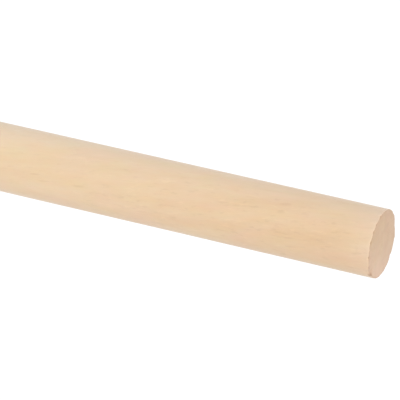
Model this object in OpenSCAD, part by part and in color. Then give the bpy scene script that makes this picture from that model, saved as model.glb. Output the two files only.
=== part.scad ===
// Wooden dowel rod: plain round stock with square-sawn ends, standing on its lower end.
// Millimetres. The origin is the centre of the lower end, and +Z runs up the rod.

/* [Rod] */
// Diameter of the round stock
rod_d = 25; // [6:0.5:50]
// Length of the rod, from one sawn end to the other
rod_l = 300; // [50:1:1200]

/* [Ends] */
// Radius that sanding leaves round the rim of each sawn end
rim_r = 0.4; // [0.1:0.1:1.5]

/* [Hidden] */
$fn = 128;
wood_colour = [0.91, 0.80, 0.68];
rod_r = rod_d / 2;

// Half of the rod's lengthwise section, with the rod's axis along the left edge.
module half_section() {
    square([rod_r - rim_r, rod_l]);
    translate([0, rim_r]) square([rod_r, rod_l - 2 * rim_r]);
    for (rim_z = [rim_r, rod_l - rim_r])
        translate([rod_r - rim_r, rim_z]) circle(r = rim_r);
}

// The whole rod, turned from one piece of wood.
module dowel_rod() {
    color(wood_colour) rotate_extrude() half_section();
}

dowel_rod();
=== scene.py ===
from math import atan2, cos, hypot, pi, radians, sin
from random import Random

import bmesh
import bpy
from mathutils import Euler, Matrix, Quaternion, Vector


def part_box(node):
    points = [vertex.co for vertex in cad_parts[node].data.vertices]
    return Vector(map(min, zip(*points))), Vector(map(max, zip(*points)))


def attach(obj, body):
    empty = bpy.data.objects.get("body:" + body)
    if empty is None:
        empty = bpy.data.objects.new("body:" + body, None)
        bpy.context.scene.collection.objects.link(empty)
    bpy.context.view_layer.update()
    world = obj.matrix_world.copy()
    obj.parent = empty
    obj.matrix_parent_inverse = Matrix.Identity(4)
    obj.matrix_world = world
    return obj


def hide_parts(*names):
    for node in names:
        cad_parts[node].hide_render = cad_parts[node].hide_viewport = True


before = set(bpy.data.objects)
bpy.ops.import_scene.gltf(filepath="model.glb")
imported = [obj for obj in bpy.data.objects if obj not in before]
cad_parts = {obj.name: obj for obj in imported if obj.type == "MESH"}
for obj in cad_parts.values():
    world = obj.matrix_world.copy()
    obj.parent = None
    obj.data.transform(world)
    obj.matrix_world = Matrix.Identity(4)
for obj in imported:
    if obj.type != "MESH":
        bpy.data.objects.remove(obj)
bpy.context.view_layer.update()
rodLow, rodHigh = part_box("dowel_rod")
rodRadius = (rodHigh.x - rodLow.x) / 2
rodLength = rodHigh.z - rodLow.z
mm = 0.001
print("frame loaded, rod", round(2 * rodRadius / mm, 2), "x", round(rodLength / mm, 2), "mm")


# the primitive that was just added gets its name, and its place goes into its mesh
def startPiece(name):
    piece = bpy.context.object
    piece.name = piece.data.name = name
    bpy.ops.object.transform_apply(location=True, rotation=True, scale=True)
    return piece


# in edit mode, selects the verts, edges or faces that pass the test and nothing else
def pick(piece, kind, test):
    bpy.ops.mesh.select_mode(type={"verts": "VERT", "edges": "EDGE", "faces": "FACE"}[kind])
    bpy.ops.mesh.select_all(action="DESELECT")
    mesh = bmesh.from_edit_mesh(piece.data)
    for item in getattr(mesh, kind):
        item.select_set(test(item))
    mesh.select_flush_mode()
    bmesh.update_edit_mesh(piece.data)


def groupPicked(piece, name):
    bpy.ops.object.vertex_group_assign_new()
    piece.vertex_groups[-1].name = name


# pushes one vertex group inwards by a texture that is stretched to the given sizes
def wearAway(piece, group, texture, stretch, depth):
    bpy.ops.object.empty_add(location=(0, 0, 0))
    guide = bpy.context.object
    guide.scale = stretch
    bpy.ops.object.select_all(action="DESELECT")
    piece.select_set(True)
    bpy.context.view_layer.objects.active = piece
    change = piece.modifiers.new(texture.name, "DISPLACE")
    change.texture = texture
    change.texture_coords = "OBJECT"
    change.texture_coords_object = guide
    change.vertex_group = group
    change.strength = depth
    change.mid_level = 1
    bpy.context.view_layer.update()
    bpy.ops.object.modifier_apply(modifier=change.name)
    bpy.data.objects.remove(guide)


rod = {
    "around": 256,              # faces round the rod
    "along": 150,               # cuts along it
    "fineLength": 8.2 * mm,     # how much of each end has finer faces
    "fineCuts": 5,
    "rimRadius": 0.18 * mm,     # what sanding took off each sawn edge
    "rimSteps": 4,
    "endRings": 34,             # rings of faces across each sawn end
    "flatDepth": 0.07 * mm,     # long shallow flats left by the sanding belt
    "flatSize": (9 * mm, 9 * mm, 70 * mm),
    "sawDepth": 0.05 * mm,
    "sawSize": (1.3 * mm, 1.3 * mm, 1.3 * mm),
    "sawSpacing": 0.6,          # a share of the size above
    "sawWobble": 2,
    "rimWear": 0.14 * mm,       # how uneven the eased edge is
    "rimWearSize": (1.8 * mm, 1.8 * mm, 1.8 * mm),
    "rimWearContrast": 2.2,
    "tornAndShadedReach": 2.5 * mm,      # torn fibres and painted shade in the chips stay this close to the ends
    "lowerChips": 9,
    "chipDepth": (0.08 * mm, 0.22 * mm),
    "chipWidth": (0.6 * mm, 1.5 * mm),
    "chipLean": 0.5,            # the share of its depth that a rim chip also goes inwards
    "chipSeed": 11,
    "upperChips": [
        # degrees round, distance from the end, depth, width
        (-142, 0, 0.20 * mm, 4.5 * mm),
        (-48, 0, 0.35 * mm, 0.9 * mm),
        (-29, 0, 0.25 * mm, 1.0 * mm),
        (-16, 0, 0.28 * mm, 0.9 * mm),
        (3, 0, 0.34 * mm, 0.8 * mm),
        (9, 0, 0.22 * mm, 1.6 * mm),
        (28, 0, 0.36 * mm, 0.7 * mm),
        (49, 0, 0.35 * mm, 1.4 * mm),
        (60, 0, 0.65 * mm, 2.6 * mm),
        (165, 0, 0.20 * mm, 1.0 * mm),
        (18, 5.2 * mm, 0.24 * mm, 1.2 * mm),
    ],
    "smoothBelow": radians(35),     # faces that meet at less than this look like one surface
}
hairline = 0.1 * mm             # points closer than this count as being in one place


# how far a height is from the nearer end of the rod
def fromEnd(z):
    return rodLength / 2 - abs(z - rodLow.z - rodLength / 2)


def turnBlank():
    bpy.ops.object.select_all(action="DESELECT")
    bpy.ops.mesh.primitive_cylinder_add(
        vertices=rod["around"], radius=rodRadius, depth=rodLength,
        location=(0, 0, rodLow.z + rodLength / 2))
    piece = startPiece("turnedRod")
    bpy.ops.object.mode_set(mode="EDIT")
    pick(piece, "edges", lambda e: abs(e.verts[0].co.z - e.verts[1].co.z) > rodLength / 2)
    bpy.ops.mesh.subdivide(number_cuts=rod["along"])
    return piece


def sawEnds(piece):
    pick(piece, "edges", lambda e: all(fromEnd(v.co.z) < hairline for v in e.verts))
    bpy.ops.mesh.bevel(
        offset=rod["rimRadius"], offset_type="OFFSET", segments=rod["rimSteps"], affect="EDGES")
    ringWidth = (rodRadius - rod["rimRadius"]) / (rod["endRings"] + 0.5)
    for end in (rodLow.z, rodHigh.z):
        pick(piece, "faces", lambda f: len(f.verts) == rod["around"]
             and abs(f.calc_center_median().z - end) < mm)
        for ring in range(rod["endRings"]):
            bpy.ops.mesh.inset(thickness=ringWidth)
        bpy.ops.mesh.poke()
    pick(piece, "edges", lambda e: abs(e.verts[0].co.z - e.verts[1].co.z) > mm
         and all(fromEnd(v.co.z) < rod["fineLength"] for v in e.verts))
    bpy.ops.mesh.subdivide(number_cuts=rod["fineCuts"])


def groupParts(piece):
    insideRim = rodRadius - 2 * rod["rimRadius"]
    pick(piece, "verts", lambda v: hypot(v.co.x, v.co.y) > rodRadius - hairline)
    groupPicked(piece, "barrel")
    pick(piece, "verts", lambda v: hypot(v.co.x, v.co.y) < insideRim)
    groupPicked(piece, "sawnEnds")
    pick(piece, "verts", lambda v: hypot(v.co.x, v.co.y) > insideRim
         and fromEnd(v.co.z) < 2 * rod["rimRadius"])
    groupPicked(piece, "rims")


# how far each point of the blank is from its nearer end, before it is chipped and worn
def noteSawnEnds(piece):
    bpy.ops.object.mode_set(mode="OBJECT")
    fromSaw = piece.data.attributes.new("fromSaw", "FLOAT", "POINT")
    for vertex, distance in zip(piece.data.vertices, fromSaw.data):
        distance.value = fromEnd(vertex.co.z) / mm
    bpy.ops.object.mode_set(mode="EDIT")


def chipRims(piece):
    dice = Random(rod["chipSeed"])
    lowerChips = [
        (dice.uniform(0, 360), 0, dice.uniform(*rod["chipDepth"]), dice.uniform(*rod["chipWidth"]))
        for chip in range(rod["lowerChips"])]
    for end, inwards, chips in ((rodLow.z, 1, lowerChips), (rodHigh.z, -1, rod["upperChips"])):
        for turn, away, depth, width in chips:
            side = Vector((sin(radians(turn)), -cos(radians(turn)), 0))
            middle = side * rodRadius + Vector((0, 0, end + inwards * away))
            # a dent goes straight in, and a chip at a rim goes along the rod and in
            push = -side if away else Vector((0, 0, inwards)) - side * rod["chipLean"]
            mesh = bmesh.from_edit_mesh(piece.data)
            nearest = min(mesh.verts, key=lambda v: (v.co - middle).length).index
            pick(piece, "verts", lambda v: v.index == nearest)
            bpy.ops.transform.translate(
                value=push * depth, use_proportional_edit=True,
                proportional_edit_falloff="SMOOTH", proportional_size=width)


def wearRod(piece):
    belt = bpy.data.textures.new("beltFlats", "CLOUDS")
    belt.noise_scale = 1
    belt.noise_depth = 1
    wearAway(piece, "barrel", belt, rod["flatSize"], rod["flatDepth"])
    saw = bpy.data.textures.new("sawLines", "WOOD")
    saw.wood_type = "BANDNOISE"
    saw.noise_scale = rod["sawSpacing"]
    saw.turbulence = rod["sawWobble"]
    wearAway(piece, "sawnEnds", saw, rod["sawSize"], rod["sawDepth"])
    worn = bpy.data.textures.new("wornEdge", "CLOUDS")
    worn.noise_scale = 1
    worn.noise_depth = 2
    worn.contrast = rod["rimWearContrast"]
    wearAway(piece, "rims", worn, rod["rimWearSize"], rod["rimWear"])


# how far each point near the ends lies below the plain rounded edge, which darkens the chips as torn
# fibres and painted shade
def noteChipHollows(piece):
    torn = piece.data.attributes.new("torn", "FLOAT", "POINT")
    core = rodRadius - rod["rimRadius"]
    for vertex, depth in zip(piece.data.vertices, torn.data):
        out = max(0, hypot(vertex.co.x, vertex.co.y) - core)
        up = max(0, rod["rimRadius"] - fromEnd(vertex.co.z))
        if fromEnd(vertex.co.z) < rod["tornAndShadedReach"]:
            depth.value = max(0, rod["rimRadius"] - hypot(out, up)) / mm


# the barrel is one strip of the bake map, and each sawn end a disc beside it
def layOutMap(piece):
    stripWidth, discSize, edge = 0.78, 0.19, 0.005
    lowerDisc, upperDisc = 0.2, 0.8
    level = 0.7                 # a face that looks this far up or down belongs to an end
    layer = piece.data.uv_layers.new(name="OFBake")
    for face in piece.data.polygons:
        corners = [piece.data.vertices[v].co for v in face.vertices]
        turns = [atan2(corner.x, -corner.y) / (2 * pi) + 0.5 for corner in corners]
        if max(turns) - min(turns) > 0.5:
            turns = [turn + 1 if turn < 0.5 else turn for turn in turns]
        for loop, corner, turn in zip(face.loop_indices, corners, turns):
            if abs(face.normal.z) > level:
                disc = upperDisc if corner.z > rodLength / 2 else lowerDisc
                u = 1 - edge - discSize / 2 + corner.x / rodRadius * discSize / 2
                v = disc + corner.y / rodRadius * discSize / 2
            else:
                u = edge + turn * stripWidth
                v = edge + (1 - 2 * edge) * (corner.z - rodLow.z) / rodLength
            layer.uv[loop].vector = (u, v)


def makeRod():
    piece = turnBlank()
    sawEnds(piece)
    groupParts(piece)
    noteSawnEnds(piece)
    chipRims(piece)
    bpy.ops.object.mode_set(mode="OBJECT")
    wearRod(piece)
    noteChipHollows(piece)
    layOutMap(piece)
    bpy.ops.object.shade_smooth_by_angle(angle=rod["smoothBelow"])
    print("rod modelled with", len(piece.data.polygons), "faces")
    return piece


# wraps a node's output, so that shader maths reads as plain Python
class Wire:
    def __init__(self, tree, socket=None):
        self.tree = tree
        self.socket = socket

    # adds any node: its settings first, then the values or links of its sockets
    def add(self, kind, settings=None, inputs=None, output=0):
        made = self.tree.nodes.new("ShaderNode" + kind)
        for name, value in (settings or {}).items():
            if name == "stops":
                stops = made.color_ramp.elements
                while len(stops) < len(value):
                    stops.new(1)
                for stop, (position, colour) in zip(stops, value):
                    stop.position = position
                    stop.color = (*colour, 1)
            else:
                setattr(made, name, value)
        for name, value in (inputs or {}).items():
            if isinstance(value, Wire):
                self.tree.links.new(value.socket, made.inputs[name])
            else:
                made.inputs[name].default_value = value
        return Wire(self.tree, made.outputs[output] if made.outputs else None)

    def maths(self, operation, *values):
        return self.add("Math", {"operation": operation}, dict(enumerate(values)))

    def __add__(self, other):
        return self.maths("ADD", self, other)

    __radd__ = __add__

    def __sub__(self, other):
        return self.maths("SUBTRACT", self, other)

    def __rsub__(self, other):
        return self.maths("SUBTRACT", other, self)

    def __mul__(self, other):
        return self.maths("MULTIPLY", self, other)

    __rmul__ = __mul__

    def __truediv__(self, other):
        return self.maths("DIVIDE", self, other)

    # 0 below low, 1 above high and a smooth step between them
    def ease(self, low, high):
        return self.add("MapRange", {"interpolation_type": "SMOOTHSTEP"},
                        {"Value": self, "From Min": low, "From Max": high})

    # the same step from 0 up to the given height, or from that height down to 0
    def rise(self, ends, height):
        return self.ease(*ends) * height

    def fall(self, ends, height):
        return (1 - self.ease(*ends)) * height

    # a place counted in steps of the given sizes, so that a pattern gets that size
    def stretch(self, sizes):
        return self.add("VectorMath", {"operation": "DIVIDE"}, {0: self, 1: sizes})

    def part(self, axis):
        return self.add("SeparateXYZ", None, {0: self}, output="XYZ".index(axis))

    # soft noise from about -0.5 to 0.5
    def noise(self, sizes, detail, roughness):
        return self.add("TexNoise", None, {"Vector": self.stretch(sizes), "Scale": 1.0,
                                           "Detail": detail, "Roughness": roughness}) - 0.5

    # the same place moved aside by soft noise, by up to the reach
    def sway(self, sizes, reach):
        aside = self.add("TexNoise", None, {"Vector": self.stretch(sizes), "Scale": 1.0}, output="Color")
        return self.add("VectorMath", {"operation": "MULTIPLY_ADD"}, {0: aside, 1: reach, 2: self})

    # a colour that goes from low to high as this value goes from 0 to 1
    def blend(self, low, high):
        low, high = (c if isinstance(c, Wire) else (*c, 1) for c in (low, high))
        return self.add("Mix", {"data_type": "RGBA"}, {0: self, 6: low, 7: high}, output=2)

    def ramp(self, *stops):
        return self.add("ValToRGB", {"stops": stops}, {0: self})


wood = {
    # all sizes and places are in mm
    "pith": (15, -73.5, 0),         # where the rod's axis lies, from the middle of its tree
    "grainSlope": radians(9),       # how far the fibres lean from the rod's axis
    "grainDive": radians(1.1),
    "ringWidth": 2.3,
    "ringSpread": 2.2,              # how much the rings' widths differ, and how soon that changes
    "ringSpreadStep": 0.37,
    "ringSwaySize": (16, 16, 90),
    "ringSway": (2.6, 2.6, 0),
    "lateWood": ((0.25, 0.85), (0.88, 1.0)),    # shares of a ring where it darkens and where it ends
    # rays: cell round, out and along; size; the share of the cells that have one
    "bigRays": ((0.85, 60, 8.5), 0.36, 0.18),
    "smallRays": ((0.55, 40, 3.6), 0.40, 0.60),
    "rayCore": 0.35,                # the share of a ray that has its full strength
    # soft patterns: size, detail, roughness
    "fibre": ((0.35, 0.35, 14), 3.0, 0.65),
    "flecks": ((1.25, 1.25, 5.5), 2.0, 0.6),
    "bands": ((6, 6, 80), 2.0, 0.5),
    "mottle": ((3.5, 3.5, 13), 2.0, 0.5),
    "hue": ((5, 5, 14), 4.0, 0.7),
    "fleckSwaySize": (5, 5, 3.6),
    "fleckSway": (1.5, 1.5, 0),
    # how far each pattern shifts the tone, from the first colour of a list towards its last
    "barrelShift": {"bands": 0.40, "mottle": 0.30, "fibre": 0.20, "lateWood": 0.07},
    "endShift": {"all": 0.42, "lateWood": 0.03, "years": 0.06, "fibre": 0.3, "bands": 0.45,
                 "mottle": 0.5, "rays": 0.08, "across": 0.020},
    "barrelColours": [
        (0.0, (0.930, 0.735, 0.520)),
        (0.3, (0.905, 0.690, 0.465)),
        (0.85, (0.830, 0.588, 0.368)),
        (1.0, (0.790, 0.540, 0.330)),
    ],
    "endColours": [
        (0.0, (0.725, 0.518, 0.352)),
        (1.0, (0.575, 0.382, 0.244)),
    ],
    "rayColour": (0.640, 0.410, 0.235),
    "scuffAndHighlightColour": (0.900, 0.703, 0.524),
    # the dark of torn fibres and of painted shade in the chips
    "tornAndShadedColour": (0.240, 0.150, 0.090),
    "rayShares": (0.26, 0.08),      # of the ray colour, for big and small rays
    "tornAndShadedShares": (0.06, 0.12),     # of the dark in the chips, everywhere as torn fibres and painted shade, and added on the lower side as painted shade
    # steps of tone: from where to where, and how strong
    "goldenWay": (0.5, -0.866),     # from the axis towards the most golden side
    "goldenSide": ((0, 14), 0.45),
    "goldenTop": ((90, 330), 0.45),
    "paleSide": ((2, 11), 0.12),
    # a pale band beside each rim, a painted highlight on the eased edge
    "paintedRimHighlight": ((0.3, 2.2), 0.10),
    "scuffedEnd": ((0, 14), 0.45),
    "lessScuffAndHighlight": ((0, 10), 0.6),
    "lowerSide": (-8, 6),
    "endRim": (0.2, 1.1),
    "endRimPaintedShade": (0.5, 0.05),    # painted shade at the rim of the lower side, less a slight lightening all round
    "cutDepth": (0, 0.08),          # how deep below a sawn end the end grain shows
    "tornAndShadedDepth": (0.07, 0.34),
    # flecks: where they begin and are full, how dark and how pale, and where there are more
    "fleckEdges": (0.05, 0.26),
    "fleckTones": (0.075, 0.050),
    "fleckShare": 0.35,
    "moreFlecks": ((2, 8), (165, 215), 0.65),
    # the clearest single marks: degrees round, out from the axis, down from the upper end,
    # size across and along the grain, how much darker
    "marks": [
        (20, 12.5, 113, (0.5, 3.0), 0.07),
        (-8, 12.5, 52, (0.5, 2.0), 0.05),
        (-14, 12.5, 35, (0.7, 2.0), 0.06),
        (41, 12.5, 30, (0.5, 3.0), 0.07),
        (-15, 12.5, 15, (0.6, 1.2), 0.06),
        # a dark spot on the rim of the upper end, on its lower side
        (70, 12.5, 0.5, (1.3, 1.0), 0.34),
        (-100, 7, 0, (1.3, 3.0), 0.06),
        (110, 2, 0, (0.8, 3.0), -0.06),
    ],
    "markEdge": (0.3, 1.2),         # where a mark begins to fade and is gone, in shares of its size
    # shades of hue, and painted light, shade and sheen at the long edges
    "fleckTint": (0.85, 1.15),      # how much a fleck darkens red and blue, where green has 1
    "rosy": 0.08,
    "milky": 0.24,
    "endSlant": (0.001, 0.0014, 0.004),     # red, green and blue for each mm across an end
    # painted light on both long sides and painted shade along the +x outline
    "paintedBrightSides": ((3, 10), 0.015),
    "paintedShadeOutline": ((11.4, 12.5), 0.05),
    # the -x edge greyer, with less red and more blue: painted sheen
    "paintedSheenLessRed": ((11.2, 12.5), 0.03),
    "moreRed": ((3, 11), 0.01),
    "moreBlueAndSheen": (((6, 12.5), 0.05), ((3, 11), 0.02)),       # on the left as painted sheen, and on the right
    # the surface: heights in mm
    "barrelRelief": {"fibre": 0.018, "bigRays": 0.012, "smallRays": 0.006},
    "endRelief": {"fibre": 0.03, "saw": 0.02},
    "sawMarks": {"Scale": 0.12, "Distortion": 1.5, "Detail": 2.0},
    "bump": 0.7,
    "roughness": {"all": 0.57, "fibre": 0.14, "rays": 0.06, "ends": 0.30},
    "gloss": {"IOR": 1.5, "Specular IOR Level": 0.5, "Sheen Weight": 0.3, "Sheen Roughness": 0.35},
}


# growth rings sway a little, and each year has a width and a tone of its own
def growthRings(inTree):
    swayed = inTree.sway(wood["ringSwaySize"], wood["ringSway"])
    treeX, treeY = swayed.part("X"), swayed.part("Y")
    radius = inTree.maths("SQRT", treeX * treeX + treeY * treeY)
    years = radius / wood["ringWidth"]
    uneven = inTree.add("TexNoise", {"noise_dimensions": "1D"},
                        {"W": years * wood["ringSpreadStep"], "Scale": 1.0})
    years = years + wood["ringSpread"] * uneven
    season = inTree.maths("FRACT", years)
    year = inTree.maths("FLOOR", years)
    yearTone = inTree.add("TexWhiteNoise", {"noise_dimensions": "1D"}, {"W": year})
    darkening, ending = wood["lateWood"]
    lateWood = season.ease(*darkening) * (1 - season.ease(*ending))
    # the same place as round, out and along, for the rays
    around = inTree.maths("ARCTAN2", treeX, 0 - treeY) * abs(wood["pith"][1])
    spread = inTree.add("CombineXYZ", None, {0: around, 1: radius, 2: inTree.part("Z")})
    return swayed, spread, lateWood, yearTone


# rays are thin upright sheets that run out from the pith
def rays(spread, cell, size, share):
    cells = {"Vector": spread.stretch(cell), "Scale": 1.0}
    distance = spread.add("TexVoronoi", None, cells, output="Distance")
    near = 1 - distance.ease(size * wood["rayCore"], size)
    lot = spread.add("TexVoronoi", None, cells, output="Color").part("X")
    return near * lot.ease(1 - share, 1)


# adds the single marks to the flecks, each drawn out along the grain
def addMarks(inTree, flecks):
    grain = Euler((wood["grainDive"], wood["grainSlope"], 0)).to_matrix()
    for turn, out, down, (width, length), dark in wood["marks"]:
        place = Vector((sin(radians(turn)) * out, -cos(radians(turn)) * out, rodHigh.z / mm - down))
        middle = grain @ place + Vector(wood["pith"])
        offset = inTree.add("VectorMath", {"operation": "SUBTRACT"}, {0: inTree, 1: middle})
        away = inTree.add("VectorMath", {"operation": "LENGTH"}, {
            0: offset.stretch((width, width, length))}, output="Value")
        flecks = flecks + away.fall(wood["markEdge"], dark)
    return flecks


def beechWood():
    material = bpy.data.materials.new("bareBeech")
    material.use_nodes = True
    material.node_tree.nodes.clear()
    wire = Wire(material.node_tree)
    inRod = wire.add("TexCoord", output="Object").stretch((mm, mm, mm))
    x, y, z = (inRod.part(axis) for axis in "XYZ")
    inTree = wire.add("Mapping", None, {
        "Vector": inRod, "Location": wood["pith"],
        "Rotation": (wood["grainDive"], wood["grainSlope"], 0)})

    swayed, spread, lateWood, yearTone = growthRings(inTree)
    bigRays = rays(spread, *wood["bigRays"])
    smallRays = rays(spread, *wood["smallRays"])
    fibre = inTree.noise(*wood["fibre"])
    streak = inTree.sway(wood["fleckSwaySize"], wood["fleckSway"]).noise(*wood["flecks"])
    bands = swayed.noise(*wood["bands"])
    mottle = inTree.noise(*wood["mottle"])
    rosy = inTree.noise(*wood["hue"])
    milky = swayed.noise(*wood["hue"])

    # how far it is to an end and to the rim, where the wood is cut across its fibres, and how deep the rim
    # chips are, darkened as torn fibres and painted shade
    halfLength = rodLength / mm / 2
    toEnd = halfLength - wire.maths("ABSOLUTE", z - halfLength)
    toRim = rodRadius / mm - wire.maths("SQRT", x * x + y * y)
    fromSaw = wire.add("Attribute", {"attribute_name": "fromSaw"}, output="Fac")
    cutAcross = 1 - fromSaw.ease(*wood["cutDepth"])
    torn = wire.add("Attribute", {"attribute_name": "torn"}, output="Fac").ease(*wood["tornAndShadedDepth"])

    # the barrel is more golden on one side and in its upper part, and paler near its ends: scuffed wood,
    # and a painted highlight along each rim, stronger on the -x side
    goldenX, goldenY = wood["goldenWay"]
    outer = x * goldenX + y * goldenY
    golden = outer.rise(*wood["goldenSide"]) + z.rise(*wood["goldenTop"]) - x.rise(*wood["paleSide"])
    shift = wood["barrelShift"]
    tone = (golden + bands * shift["bands"] + mottle * shift["mottle"] + fibre * shift["fibre"]
            + lateWood * yearTone * shift["lateWood"])
    bigShare, smallShare = wood["rayShares"]
    along = tone.ramp(*wood["barrelColours"])
    along = (bigRays * bigShare + smallRays * smallShare).blend(along, wood["rayColour"])
    # pale grey near the ends: scuffed wood, with a painted highlight along each rim
    scuffAndHighlight = toEnd.fall(*wood["paintedRimHighlight"]) + toEnd.fall(*wood["scuffedEnd"])
    along = (scuffAndHighlight * (1 - x.rise(*wood["lessScuffAndHighlight"]))).blend(along, wood["scuffAndHighlightColour"])

    # the ends are darker, most of all at the rim of their lower side, where the shade is painted
    lowerSide = x.ease(*wood["lowerSide"])
    rimShadeBelow, rimLess = wood["endRimPaintedShade"]
    shift = wood["endShift"]
    endTone = (shift["all"] + lateWood * (shift["lateWood"] + yearTone * shift["years"])
               + fibre * shift["fibre"] + bands * shift["bands"] + mottle * shift["mottle"]
               - smallRays * shift["rays"] - x * shift["across"]
               + toRim.fall(wood["endRim"], lowerSide * rimShadeBelow - rimLess))
    across = endTone.ramp(*wood["endColours"])
    # the chips darken as torn fibres and painted shade, with more painted shade on the lower side
    tornAndShadedShare, shadeBelow = wood["tornAndShadedShares"]
    colour = (torn * (tornAndShadedShare + lowerSide * shadeBelow)).blend(
        cutAcross.blend(along, across), wood["tornAndShadedColour"])

    # short wavy flecks and the single marks
    outwards, upwards, more = wood["moreFlecks"]
    fleckShare = wood["fleckShare"] + outer.ease(*outwards) * z.ease(*upwards) * more
    dark, pale = wood["fleckTones"]
    flecks = streak.rise(wood["fleckEdges"], dark) - (0 - streak).rise(wood["fleckEdges"], pale)
    flecks = addMarks(inTree, flecks * fleckShare)

    # pinker and yellower patches, a slight change of hue from side to side, and at the long edges painted
    # light, painted shade along the +x outline and painted sheen on the -x edge
    left = 0 - x
    slant = (x + y) * cutAcross
    slantRed, slantGreen, slantBlue = wood["endSlant"]
    fleckRed, fleckBlue = wood["fleckTint"]
    sheenBlueLeft, blueRight = wood["moreBlueAndSheen"]
    paintedEdgeLight = 1 + wire.maths("ABSOLUTE", x).rise(*wood["paintedBrightSides"]) - x.rise(*wood["paintedShadeOutline"])
    red = (paintedEdgeLight - flecks * fleckRed + rosy * wood["rosy"] - left.rise(*wood["paintedSheenLessRed"])
           + x.rise(*wood["moreRed"]) + slant * slantRed)
    green = paintedEdgeLight - flecks - rosy * wood["rosy"] + slant * slantGreen
    blue = (paintedEdgeLight - flecks * fleckBlue - rosy * wood["rosy"] + milky * wood["milky"]
            + (left.rise(*sheenBlueLeft) + x.rise(*blueRight) + slant * slantBlue))
    tint = wire.add("CombineXYZ", None, {0: red, 1: green, 2: blue})
    colour = wire.add("VectorMath", {"operation": "MULTIPLY"}, {0: colour, 1: tint})

    sawMarks = wire.add("TexWave", None, {"Vector": inRod, **wood["sawMarks"]})
    raised, cut, rough = wood["barrelRelief"], wood["endRelief"], wood["roughness"]
    barrelRelief = fibre * raised["fibre"] - bigRays * raised["bigRays"] - smallRays * raised["smallRays"]
    endRelief = fibre * cut["fibre"] + sawMarks * cut["saw"]
    relief = barrelRelief * (1 - cutAcross) + endRelief * cutAcross
    normal = wire.add("Bump", None, {"Strength": wood["bump"], "Distance": mm, "Height": relief})
    roughness = rough["all"] + fibre * rough["fibre"] - bigRays * rough["rays"] + cutAcross * rough["ends"]
    skin = wire.add("BsdfPrincipled", None, {
        "Base Color": colour, "Roughness": roughness, "Normal": normal, **wood["gloss"]})
    wire.add("OutputMaterial", None, {"Surface": skin})
    print("wood mixed")
    return material


turnedRod = makeRod()
turnedRod.data.materials.clear()
turnedRod.data.materials.append(beechWood())
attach(turnedRod, "root")
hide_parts("dowel_rod")


studio = {
    "floorSize": 30.0,
    "floorColour": (0.70, 0.70, 0.70, 1),
    "floorGlow": 0.38,              # brings the lit floor up to white for the camera
    "skyLight": 0.52,
    "softness": radians(50),        # how wide each lamp looks from the rod
    "lamps": {
        # the side it shines from, degrees up, strength
        "front": ((0.06, -1.0), 35, 1.43),
        "left": ((-0.58, 0.81), 35, 0.62),
        "right": ((0.58, 0.81), 35, 0.50),
    },
}


# 1 for what the camera sees, straight or by reflection, and 0 for the light on the rod
def seenByCamera(wire):
    camera, gloss, glass = (wire.add("LightPath", output="Is " + ray + " Ray")
                            for ray in ("Camera", "Glossy", "Transmission"))
    return wire.maths("MAXIMUM", wire.maths("MAXIMUM", camera, gloss), glass)


def makeFloor():
    bpy.ops.mesh.primitive_plane_add(size=studio["floorSize"], location=(0, 0, rodLow.z))
    floor = startPiece("paleFloor")
    material = bpy.data.materials.new("palePaper")
    material.use_nodes = True
    material.node_tree.nodes.clear()
    wire = Wire(material.node_tree)
    paper = wire.add("BsdfDiffuse", None, {"Color": studio["floorColour"]})
    glow = wire.add("Emission", None, {"Strength": studio["floorGlow"]})
    lit = wire.add("AddShader", None, {0: paper, 1: glow})
    shown = wire.add("MixShader", None, {0: seenByCamera(wire), 1: paper, 2: lit})
    wire.add("OutputMaterial", None, {"Surface": shown})
    floor.data.materials.append(material)


def makeSky():
    world = bpy.data.worlds.new("studioSky")
    bpy.context.scene.world = world
    world.use_nodes = True
    world.node_tree.nodes.clear()
    wire = Wire(world.node_tree)
    strength = studio["skyLight"] + seenByCamera(wire) * (1 - studio["skyLight"])
    sky = wire.add("Background", None, {"Color": (1, 1, 1, 1), "Strength": strength})
    wire.add("OutputWorld", None, {"Surface": sky})


def makeLamps():
    for name, (side, rise, strength) in studio["lamps"].items():
        level = Vector((*side, 0)).normalized()
        towards = level * cos(radians(rise)) + Vector((0, 0, sin(radians(rise))))
        bpy.ops.object.light_add(type="SUN", location=towards)
        lamp = bpy.context.object
        lamp.name = name + "Lamp"
        lamp.data.angle = studio["softness"]
        lamp.data.energy = strength
        lamp.rotation_euler = towards.to_track_quat("Z", "Y").to_euler()


# the camera lies on its side, so that the rod runs across the frame
shot = {
    "lens": 286.74,
    "place": (0, -1.0616, 0.6474),
    "aim": (-0.00075, 0, 0.22947),
    "roll": radians(102.9),
    "sensorWidth": 36,
    "seesUpTo": 40,
}


def makeCamera():
    bpy.ops.object.camera_add(location=shot["place"])
    camera = bpy.context.object
    camera.data.lens = shot["lens"]
    camera.data.sensor_width = shot["sensorWidth"]
    camera.data.clip_end = shot["seesUpTo"]
    gaze = (Vector(shot["aim"]) - Vector(shot["place"])).to_track_quat("-Z", "Y")
    camera.rotation_euler = (gaze @ Quaternion((0, 0, 1), shot["roll"])).to_euler()
    bpy.context.scene.camera = camera


makeFloor()
makeSky()
makeLamps()
makeCamera()
bpy.context.scene.view_settings.view_transform = "Standard"
print("studio ready")
